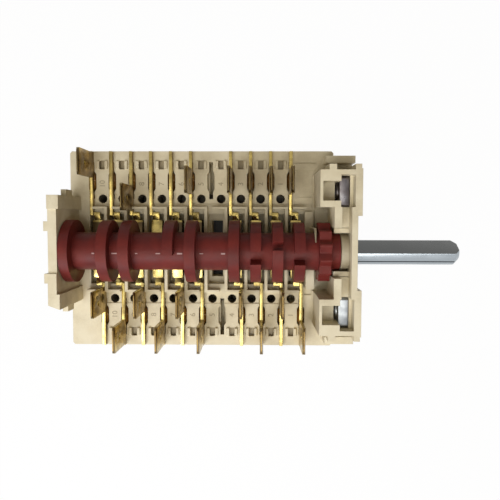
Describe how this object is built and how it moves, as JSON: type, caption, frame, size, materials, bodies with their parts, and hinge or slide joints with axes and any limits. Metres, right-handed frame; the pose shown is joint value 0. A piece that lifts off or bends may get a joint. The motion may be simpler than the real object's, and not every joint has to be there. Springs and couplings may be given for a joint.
{
  "type": "oven selector switch",
  "caption": "Cam-type oven selector switch: a notched drum on a flatted shaft turns over a moulded base with rows of brass tab terminals and a front bracket for screws.",
  "frame": {"origin": "on the shaft axis, in the plane of the front mounting faces", "axes": "+X runs out of the front along the shaft, +Y across the switch, +Z away from the closed back, the way the tabs point"},
  "size_m": [0.0953, 0.0492, 0.0268],
  "materials": {
    "cream_moulding": "moulded, slightly satin",
    "cover_board": "black moulding",
    "drum_moulding": "moulded, slightly satin",
    "brass": "stamped sheet",
    "bright_steel": "drawn bar",
    "zinc_steel": "zinc plated",
    "spring_steel": "drawn wire",
    "contact_silver": "silver alloy",
    "plunger_moulding": "low-friction moulding"
  },
  "bodies": {
    "housing": {"base_housing": "cream_moulding", "back_cover": "cover_board", "front_bracket": "cream_moulding", "upper_fixing_nut": "zinc_steel", "lower_fixing_nut": "zinc_steel", "bracket_screws": "zinc_steel", "detent_spring": "spring_steel", "moving_contact_tips": "contact_silver", "fixed_contact_tips": "contact_silver", "bridge_contact_01": "brass", "bridge_contact_02": "brass", "bridge_contact_03": "brass", "bridge_contact_04": "brass", "bridge_contact_05": "brass", "bridge_contact_06": "brass", "bridge_contact_08": "brass", "bridge_contact_09": "brass", "bridge_contact_10": "brass", "bridge_contact_11": "brass", "upper_terminal_01": "brass", "upper_terminal_02": "brass", "upper_terminal_03": "brass", "upper_terminal_04": "brass", "upper_terminal_05": "brass", "upper_terminal_06": "brass", "upper_terminal_08": "brass", "upper_terminal_09": "brass", "upper_terminal_10": "brass", "upper_terminal_11": "brass", "lower_terminal_01": "brass", "lower_terminal_02": "brass", "lower_terminal_03": "brass", "lower_terminal_04": "brass", "lower_terminal_05": "brass", "lower_terminal_06": "brass", "lower_terminal_08": "brass", "lower_terminal_09": "brass", "lower_terminal_10": "brass", "lower_terminal_11": "brass"},
    "drum": {"cam_drum": "drum_moulding", "operating_shaft": "bright_steel"},
    "plunger": {"detent_plunger": "plunger_moulding"}
  },
  "joints": [
    {"name": "shaft_turn", "type": "hinge", "parent": "housing", "child": "drum", "pos_m": [0, 0, 0], "axis": [1, 0, 0], "continuous": true},
    {"name": "plunger_slide", "type": "slide", "parent": "housing", "child": "plunger", "axis": [0, 0, -1], "range_m": [0, 0.00115], "stiffness_N_per_m": 500, "springref_m": -0.002, "deforming": ["detent_spring"]}
  ]
}
